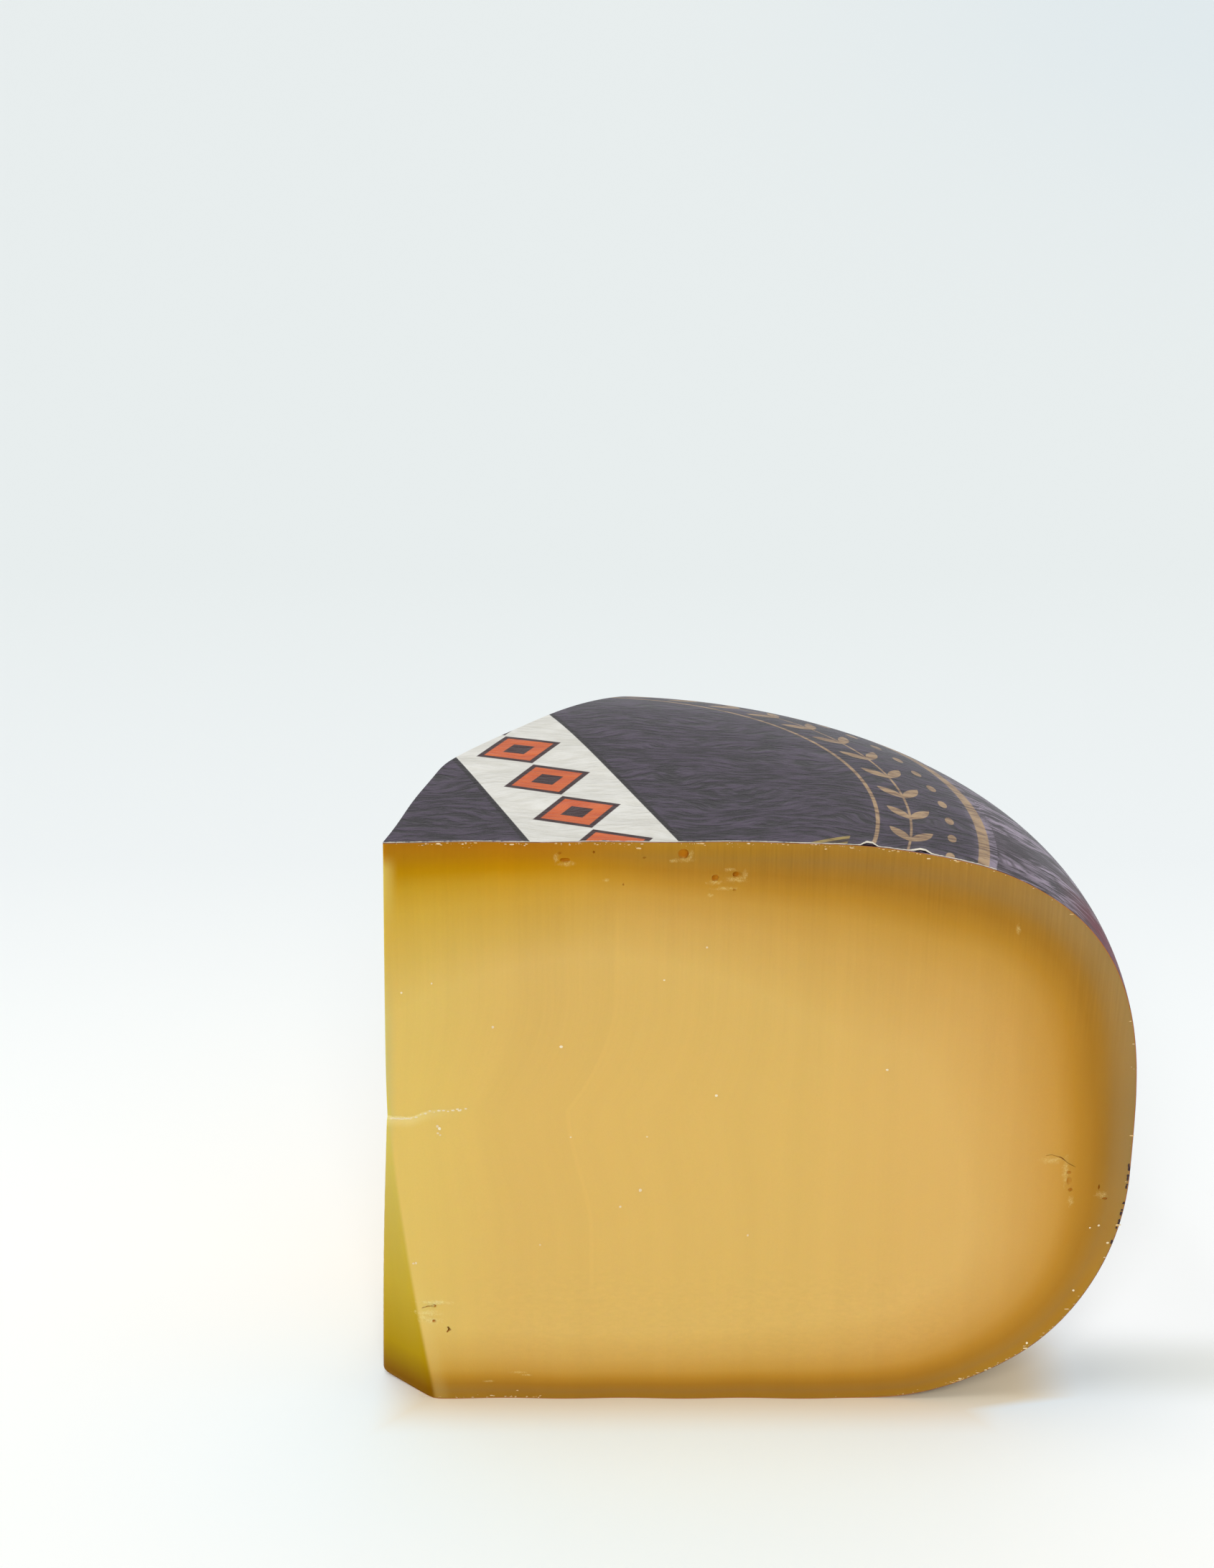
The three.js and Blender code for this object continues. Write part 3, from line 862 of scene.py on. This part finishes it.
class Paint:
    """The nodes of one material or world."""

    def __init__(self, owner):
        self.owner = owner
        owner.use_nodes = True
        self.tree = owner.node_tree
        self.tree.nodes.clear()

    def node(self, kind, settings, sockets, output=None):
        """Adds a node: settings first, then the values or links of its sockets by identifier.
        Gives the named output, or else the first one in use."""
        made = self.tree.nodes.new("ShaderNode" + kind)
        for name, value in settings.items():
            setattr(made, name, value)
        inputs = {socket.identifier: socket for socket in made.inputs}
        for name, value in sockets.items():
            if isinstance(value, Value):
                self.tree.links.new(value.socket, inputs[name])
            else:
                inputs[name].default_value = value
        outputs = [socket for socket in made.outputs if socket.enabled]
        if output:
            outputs = [socket for socket in outputs if socket.identifier == output]
        return Value(self, outputs[0]) if outputs else None

    def attribute(self, name):
        return self.node("Attribute", {"attribute_name": name}, {}, "Fac")

    def place(self, centre_x=0.0, centre_y=0.0, turn=0.0):
        """The point in millimetres from the axis, or from a centre beside it, as a vector."""
        point = self.node("TexCoord", {}, {}, "Object")
        shift = ((AXIS_X + centre_x) * MM, (AXIS_Y + centre_y) * MM, 0)
        sockets = {"Vector": point, "Location": shift, "Rotation": (0, 0, turn), "Scale": (MM, MM, MM)}
        return self.node("Mapping", {"vector_type": "TEXTURE"}, sockets)

    def split(self, vector):
        """The three numbers of a vector."""
        made = self.node("SeparateXYZ", {}, {"Vector": vector}, "X")
        return tuple(Value(self, socket) for socket in made.socket.node.outputs)

    def noise(self, vector, scale, detail=2.0, roughness=0.5):
        sockets = {"Vector": vector, "Scale": scale, "Detail": detail, "Roughness": roughness}
        return self.node("TexNoise", {}, sockets, "Fac")

    def vector(self, x, y, z):
        return self.node("CombineXYZ", {}, {"X": x, "Y": y, "Z": z})

    def vector_math(self, operation, *operands, output="Vector"):
        sockets = dict(zip(("Vector", "Vector_001", "Vector_002"), operands))
        return self.node("VectorMath", {"operation": operation}, sockets, output)

    def tinted(self, colour, red, green, blue):
        """A colour times one factor for each of its parts."""
        return self.vector_math("MULTIPLY", colour, self.vector(red, green, blue))

    def ramp(self, value, stops):
        """The colour of stops at a value: each stop is a place and sRGB bytes."""
        made = self.node("ValToRGB", {}, {"Fac": value}, "Color")
        elements = made.socket.node.color_ramp.elements
        while len(elements) < len(stops):
            elements.new(0.5)
        for element, (place, colour) in zip(elements, stops):
            element.position = place
            element.color = linear(*colour)
        return made

    def mix(self, share, first, second):
        """The first colour where share is 0 and the second where it is 1. A colour is a value
        or sRGB bytes."""
        first, second = (
            colour if isinstance(colour, Value) else linear(*colour) for colour in (first, second)
        )
        sockets = {"Factor_Float": share, "A_Color": first, "B_Color": second}
        return self.node("Mix", {"data_type": "RGBA"}, sockets, "Result_Color")

    def bump(self, height, distance):
        sockets = {"Height": height, "Distance": distance, "Strength": 1.0}
        return self.node("Bump", {}, sockets, "Normal")

    def finish(self, sockets):
        """Joins the surface shader to the output and gives the material."""
        surface = self.node("BsdfPrincipled", {}, sockets, "BSDF")
        self.node("OutputMaterial", {}, {"Surface": surface})
        return self.owner


def depth_colour(paint, x, z, rind_depth):
    """The paste's colour by its depth below the rind: amber brown to honey, partly painted shade
    near the coat and the foot, darker and more orange at the upper left as painted shade under
    the top edge, with a tan haze along the rind and a few broad areas that differ a little."""
    share = rind_depth / RAMP_DEPTH
    # Painted shade, darker and more orange, under the top edge at the upper left.
    upper_left_shade = x.fading(-16, 18) * z.between(80, 110)
    colour = paint.mix(upper_left_shade, paint.ramp(share, PASTE_STOPS), paint.ramp(share, UPPER_LEFT_SHADE_STOPS))
    haze = z.between(20, 60) * (1 - z.between(104, 119) * 0.9) * rind_depth.fading(1, 7)
    colour = paint.mix(haze * 0.8, colour, HAZE)
    upper = z.between(60, 95)
    top_middle = z.between(106, 117) * x.band(-34, -6, 12, 42)
    low_rim = rind_depth.fading(4, 16) * z.fading(26, 44) * x.between(60, 78)
    right_rim = x.between(91, 95) * z.band(44, 56, 66, 76)
    tone = 1 - upper * 0.04 + top_middle * 0.11 + low_rim * 0.09 - right_rim * 0.06
    redder = x.between(30, 70) * z.fading(80, 110) * rind_depth.between(5, 16)
    yellower = z.between(112, 118) * x.fading(25, 45)
    return paint.tinted(colour, tone, (1.025 - redder * 0.05) * tone, (1 - yellower * 0.3) * tone)


def edge_light_colour(paint, z, colour):
    """The paste's colour with painted light by the front left edge: yellower towards it, as light
    shining through the thin corner, and paler at its upper end, a painted highlight.
    """
    edge = paint.attribute("from_edge")
    # Painted light shining through the thin corner, yellower towards the front left edge.
    beside = edge.fading(0, 30)
    on_edge = edge.fading(0, 2.4) * (1 - z.between(76, 102) * 0.8)
    gains = ((0.03, -0.2), (0.12, -0.07), (0.04, 0.2))
    colour = paint.tinted(colour, *(1 + beside * broad + on_edge * narrow for broad, narrow in gains))
    # A painted highlight at the edge's upper end.
    edge_highlight = edge.fading(0, 2.8) * z.band(98, 112, 114, 118)
    return paint.mix(edge_highlight * 0.8, colour, EDGE_HIGHLIGHT)


def behind_pared_plane(paint, point, z):
    """How far the point lies inside the pared corner, as in past_pared_plane()."""
    place, normal = pared_plane()
    along = paint.vector_math("DOT_PRODUCT", point, tuple(normal), output="Value")
    rise = (z * (math.pi / PARED_HEIGHT)).largest(0.0).smallest(math.pi)
    return float(place @ normal) - along + rise.math("SINE", rise) * PARED_BELLY


def smears(paint, point, ragged):
    """1 in the middle of the pale smears, fading out to ragged edges, and 0 elsewhere: by the
    least distance from a smear's middle, in parts of its half sizes."""
    nearest = SMEAR_REACH
    for x, z, half_width, half_height in SMEARS:
        size = (1 / half_width, 0, 1 / half_height)
        shift = (-x / half_width, 0, -z / half_height)
        beside = paint.vector_math("MULTIPLY_ADD", point, size, shift)
        nearest = paint.vector_math("LENGTH", beside, output="Value").smallest(nearest)
    return (nearest + ragged).fading(0.1, 1.3)


def ridge_marks(x, z, ragged):
    """The pale torn line of the ridge, the paler paste under it, and how both fade along X."""
    height = x.between(*RIDGE_BEND) * RIDGE_BEND_RISE + (x - RIDGE_BEND[1]).largest(0.0) * RIDGE_SLOPE
    below = height + RIDGE_HEIGHT - z + ragged * 0.25
    fade = x.fading(LEFT_CUT + 2, LEFT_CUT + 17)
    line = (abs(below) + x.between(-35.5, -33) * 0.2).fading(0.35, 0.75)
    under = below.band(-0.1, 0.1, 0.4, 2.6)
    return line.largest(under * 0.55) * fade * fade


def knife_bend(z):
    """The x of the knife's stroke at a height: 4.3 near the top, 9 further left after a bend
    from 90 to 65 up, and 4.3 further right again from there to 38 up."""
    left = ((90 - z) / 25).largest(0.0).smallest(1.0)
    return 4.3 - left * left * 9 + z.fading(38, 65) * 4.3


def knife_marks(paint, point, rind_depth):
    """The knife's marks as a factor of the colour and as a height: streaks along its stroke,
    strongest near the top and the rind, a grain, one pale line, and a torn band low down."""
    x, y, z = paint.split(point)
    bend = knife_bend(z)
    beside = x - bend * abs(x).fading(10, 45)
    drawn = paint.vector(beside, y, z * 0.03)
    streaks = paint.noise(paint.vector(beside, y, z * 0.02), 0.55, 3.0)
    fine = paint.noise(drawn, 2.2, 3.0)
    wide = paint.noise(drawn, 0.2, 4.0)
    grain = paint.noise(point, 3.5, 3.0)
    torn = paint.noise(paint.vector_math("MULTIPLY", point, (0.6, 1.0, 1.2)), 1.1, 3.0)
    near_top = z.between(60, 110) * 0.8 + 0.2
    near_rind = z.between(70, 90) * rind_depth.fading(4, 16) * x.between(-10, 40)
    line = abs(x - bend).fading(0.1, 0.7) * z.band(20, 30, 102, 112)
    torn_band = z.band(5, 14, 24, 34) * x.band(-30, -15, 60, 80)
    factor = 1 + ((streaks - 0.5) * 0.06 + (fine - 0.5) * 0.07) * near_top + (wide - 0.5) * 0.09
    factor = factor + (fine - 0.42) * near_rind * 0.24 + (grain - 0.5) * 0.06
    factor = factor + line * 0.03 + (torn - 0.5) * torn_band * 0.12
    return factor, (streaks * 0.03 + fine * 0.02) * near_top + grain * 0.012


def paste_material():
    """Honey coloured paste: amber and tan towards the rind, partly painted shade; yellow by the
    front left edge from painted light, and painted shade on the pared corner with a painted
    highlight along its edge; with a pale torn ridge, smears, pits painted dark orange as
    shade, and knife marks."""
    paint = Paint(bpy.data.materials.new("paste"))
    point = paint.place()
    x, y, z = paint.split(point)
    cloud = paint.noise(point, 0.03, 2.0)
    ragged = paint.noise(point, 1.8, 4.0, 0.65) * 2.4 - 1.2
    rind_depth = paint.attribute("rind_depth") * (0.9 + cloud * 0.2)
    colour = edge_light_colour(paint, z, depth_colour(paint, x, z, rind_depth))
    inside = behind_pared_plane(paint, point, z)
    # The pared corner takes its painted shade, darkest at the foot.
    colour = paint.mix(inside.fading(0.2, 0.6), colour, paint.ramp(z / PARED_RAMP_HEIGHT, PARED_SHADE_STOPS))
    # A painted highlight along the edge of the pared corner, in the pale colour of torn paste, mixed
    # in with the torn ridge and the smears.
    pared_edge_highlight = inside.band(0.2, 0.8, 0.9, 2.6) * z.fading(14, 34)
    specks = paint.noise(point, 4.5, 2.0).between(0.44, 0.6)
    torn_corner = z.band(9, 13, 24, 40)
    smeared = smears(paint, point, ragged) * (specks * 0.22 + 0.13) * (torn_corner * 1.6 + 1.0)
    pale = (pared_edge_highlight * 0.12).largest(ridge_marks(x, z, ragged) * 0.9).largest(smeared)
    pale = pale * y.fading(-4, -2)
    colour = paint.mix(pale, colour, TORN_PASTE_AND_HIGHLIGHT)
    # Painted shade, dark orange, deep in the eyes and cracks.
    sunk = paint.attribute("sunk").between(0.05, 0.4)
    colour = paint.mix(sunk * 0.8, colour, PIT_SHADE)
    factor, height = knife_marks(paint, point, rind_depth)
    return paint.finish({
        "Base Color": paint.tinted(colour, factor, factor, factor),
        "Roughness": 0.45,
        "Specular IOR Level": 0.03,
        "Subsurface Weight": 0.4,
        "Subsurface Radius": (1.0, 0.6, 0.2),
        "Subsurface Scale": 0.003,
        "Normal": paint.bump(height + pale * 0.08, MM),
    })


def crumb_material():
    """Dark flakes, and crumbs from the paste's own honey colour to white crystals."""
    paint = Paint(bpy.data.materials.new("crumbs"))
    white = paint.attribute("white")
    return paint.finish({
        "Base Color": paint.mix(white.between(-0.5, 0), FLAKE, paint.mix(white, CRUMB, CRYSTAL)),
        "Roughness": 0.5,
        "Specular IOR Level": 0.2,
    })


def brushed(paint, point):
    """The long uneven streaks that the coat's brush left along X."""
    x, y, z = paint.split(point)
    sway = paint.noise(paint.vector_math("MULTIPLY", point, (0.5, 1.0, 0.0)), 0.09, 1.0) - 0.5
    return paint.noise(paint.vector(x * 0.2, y + sway * 12, z * 0.2), 1.1, 5.0, 0.62)


def coat_material():
    """Dark aubergine coat with brush streaks whose light lilac is painted sheen, in broad patches
    and stronger up the rim, a ragged wine red patch beside the front cut on the right, and
    orange brown where it is cut through and along its foot."""
    paint = Paint(bpy.data.materials.new("coat"))
    point = paint.place()
    x, y, z = paint.split(point)
    streaks = brushed(paint, point)
    sheen_patches = paint.noise(paint.vector_math("MULTIPLY", point, (0.05, 0.5, 0.05)), 0.4, 2.0)
    ragged = (streaks - 0.5) * 16
    behind = y + FRONT_CUT + ragged
    wine = x.between(76, 82) * behind.band(-6, 4, 8, 22)
    wine = wine * z.fading(100, 109) * (z - ragged).between(54, 90)
    wine = wine * (1 - streaks.between(0.4, 0.56) * behind.between(5, 14) * 0.8)
    # Painted lilac sheen along the brush streaks, in broad patches, stronger up the rim.
    light = streaks.between(0.42, 0.62) * (sheen_patches.between(0.38, 0.58) * 0.75 + 0.25)
    light = light * (z.between(50, 88) * 0.62 + 0.38)
    colour = paint.mix(wine * 0.9, paint.mix(light, COAT_DARK, COAT_SHEEN), WINE)
    cut_through = paint.attribute("inner").between(0.1, 0.6).largest(z.fading(0.4, 2.0))
    return paint.finish({
        "Base Color": paint.mix(cut_through, colour, CUT_COAT),
        "Roughness": 0.5,
        "Specular IOR Level": 0.2,
        "Coat Weight": 0.3 - wine * 0.3,
        "Coat Roughness": 0.3,
        "Coat IOR": 1.4,
        "Normal": paint.bump(streaks, 0.6 * MM),
    })


def leaf(along, across, turn, length, width):
    """1 inside a pointed leaf about its centre, turned against the line that it sits on."""
    cosine, sine = math.cos(turn), math.sin(turn)
    p = (along * cosine + across * sine) / length
    q = abs(across * cosine - along * sine) / width
    return (q + p * p).fading(0.92, 1.0)


def distance(x, y):
    return (x * x + y * y) ** 0.5


def label_print(paint, point):
    """The printed design: a dark ground, gold rings, a wreath of leaves and a row of grains
    between them, golden furrows on the front right and a cream band of orange lozenges."""
    x, y, _ = paint.split(point)
    radius = distance(x, y)
    angle = y.math("ARCTAN2", y, x)
    streaks = brushed(paint, point)
    # Each ink runs from dark to light along the brush streaks; the light end is partly painted
    # highlight.
    ink = {
        name: paint.mix(streaks.between(low, high), dark, light)
        for name, (low, high, dark, light) in INKS.items()
    }
    ground = paint.mix(radius.between(77, 80.5), ink["ground"], ink["border"])
    rings = radius.line(79.6, 1.0).largest(radius.line(60.5, 0.35))
    along = (angle * WREATH_RADIUS).repeated(2 * math.pi * WREATH_RADIUS / WREATH_LEAVES)
    across = abs(radius - WREATH_RADIUS)
    leaves = leaf(along, across - 1.9, math.radians(38), 3.3, 1.15)
    past = (angle * GRAIN_RADIUS).repeated(2 * math.pi * GRAIN_RADIUS / GRAINS)
    grains = ((past / 1.6) ** 2 + ((radius - GRAIN_RADIUS) / 0.8) ** 2).fading(0.9, 1.1)
    printed = rings.largest(leaves).largest(across.line(0.0, 0.22)).largest(grains)

    in_field = radius.fading(56.0, 56.2)
    reach = distance(*paint.split(paint.place(*FURROW_MIDDLE))[:2])
    furrows = reach.repeated(3.6).line(0.0, 0.55)
    field = paint.mix(furrows, ink["field"], FURROW)
    colour = paint.mix(reach.fading(51.8, 52.0) * in_field, ground, field)
    colour = paint.mix(printed, colour, ink["gold"])

    band_x, band_y, _ = paint.split(paint.place(*BAND_MIDDLE, math.radians(BAND_TURN)))
    along = abs((band_x + 2.0).repeated(LOZENGE_STEP))
    across = abs(band_y)
    lozenge = along / 7.2 + across / 8.5
    heart = along / 2.6 + across / 3.2
    band = paint.mix(lozenge.fading(0.98, 1.02), ink["cream"], LOZENGE_LINE)
    band = paint.mix(lozenge.fading(0.8, 0.84), band, ink["orange"])
    band = paint.mix(heart.fading(0.95, 1.05), band, LOZENGE_LINE)
    colour = paint.mix(across.fading(13.0, 13.2) * in_field, colour, BAND_BORDER)
    return paint.mix(across.fading(12.0, 12.2) * in_field, colour, band), streaks


def label_material():
    """Printed paper under the coat's gloss, white where it is torn along the front cut."""
    paint = Paint(bpy.data.materials.new("label_paper"))
    colour, streaks = label_print(paint, paint.place(*LABEL_CENTRE.tolist()))
    ragged = (paint.noise(paint.place(), 1.2, 3.0) - 0.5) * 0.5
    torn = (paint.attribute("behind") + ragged - paint.attribute("lifted") * 0.6).fading(0.0, 0.16)
    return paint.finish({
        "Base Color": paint.mix(torn, colour, TORN_PAPER),
        "Roughness": 0.28 + streaks * 0.2,
        "Specular IOR Level": 0.3,
        "Normal": paint.bump(streaks, 0.5 * MM),
    })


# Stage: floor, camera and lights.


def floor_material():
    """A pale floor, bluer in front of the piece against the warm light that the paste throws there,
    and bluer far behind it, with painted warm light and shade round its foot, a painted soft
    shadow band to its right and a faint painted glow beside the rim."""
    paint = Paint(bpy.data.materials.new("floor"))
    x, y, _ = paint.split(paint.place())
    colour = paint.ramp((y + 60) / 600, FLOOR_STOPS)
    colour = paint.mix(x.between(0, 500) * y.between(500, 1500), colour, FLOOR_FAR_RIGHT)
    # Bluer in front of the piece, against the warm light that the paste throws onto the floor there.
    in_front = distance((x - 14) / 110, (y + 24) / 60)
    colour = paint.mix(in_front.fading(0.3, 1.2), colour, FLOOR_IN_FRONT)
    # Painted warm light and shade round the foot, as the paste's light falls on the floor.
    radius = distance(x, y)
    back = y + FRONT_CUT
    past_rim = radius - FOOT_GLOW_RADIUS - back.between(-4, 1) * 16
    turn = (back - LEFT_TURN_START).largest(0.0) * LEFT_TURN_SLOPE
    past_left = back.largest(0.0) * LEFT_CUT_SLOPE_AT_FOOT + turn + LEFT_CUT + 5 - x
    glow = past_rim.largest(back * -1).largest(past_left).fading(-3, 12)
    # A painted shadow band to the right of the piece.
    strip = abs(y - 3).fading(1, 14) * x.band(70, 120, 180, 400)
    factors = [(1 - glow * warm) * (1 - strip * grey) for warm, grey in zip(FOOT_GLOW, SHADOW_BAND)]
    # A faint painted glow that lightens the shade beside the rim.
    lit = radius.fading(92, 135) * x.between(60, 90) * y.between(0, 20) * 0.26
    return paint.finish({
        "Base Color": paint.tinted(colour, *factors),
        "Roughness": 0.8,
        "Specular IOR Level": 0.1,
        "Emission Color": paint.vector(lit, lit, lit),
        "Emission Strength": 1.0,
    })


def add_floor():
    """A square floor about the piece."""
    corners = [(x * FLOOR_HALF, y * FLOOR_HALF, 0) for x, y in ((-1, -1), (1, -1), (1, 1), (-1, 1))]
    mesh = bpy.data.meshes.new("floor")
    mesh.from_pydata(corners, [], [(0, 1, 2, 3)])
    mesh.materials.append(floor_material())
    add_object("floor", mesh)


def add_camera():
    """The photograph's viewpoint, looking down along Y."""
    data = bpy.data.cameras.new("camera")
    data.lens = 62.64
    data.sensor_width = 36
    data.clip_end = 50
    camera = add_object("camera", data)
    camera.location = to_frame(CAMERA_PLACE)
    camera.rotation_euler = (math.radians(90 - CAMERA_TILT), 0, 0)
    bpy.context.scene.camera = camera


def add_sun(name, origin, spread, strength, colour):
    """A wide soft sun that shines from the direction origin, with a spread in degrees."""
    data = bpy.data.lights.new(name, "SUN")
    data.angle = math.radians(spread)
    data.energy = strength
    data.color = colour
    light = add_object(name, data)
    light.rotation_euler = Vector(origin).to_track_quat("Z", "Y").to_euler()


def add_world(colour, front, back):
    """A pale surround, of one strength in front of the piece and another behind it."""
    paint = Paint(bpy.data.worlds.new("studio"))
    _, y, _ = paint.split(paint.node("TexCoord", {}, {}, "Generated"))
    strength = y.between(-0.3, 0.9) * (back - front) + front
    surround = paint.node("Background", {}, {"Color": (*colour, 1), "Strength": strength})
    paint.node("OutputWorld", {}, {"Surface": surround})
    bpy.context.scene.world = paint.owner


place_piece(paste_mesh(), paste_material(), "aged_gouda_piece")
place_piece(crumbs_mesh(), crumb_material(), "aged_gouda_piece")
place_piece(coat_mesh(), coat_material(), "aged_gouda_piece")
place_piece(label_mesh(), label_material(), "top_label")

add_floor()
add_camera()
add_world(colour=(0.96, 0.98, 1.0), front=0.42, back=0.85)
for sun in SUNS:
    add_sun(*sun)
bpy.context.scene.view_settings.view_transform = "Standard"
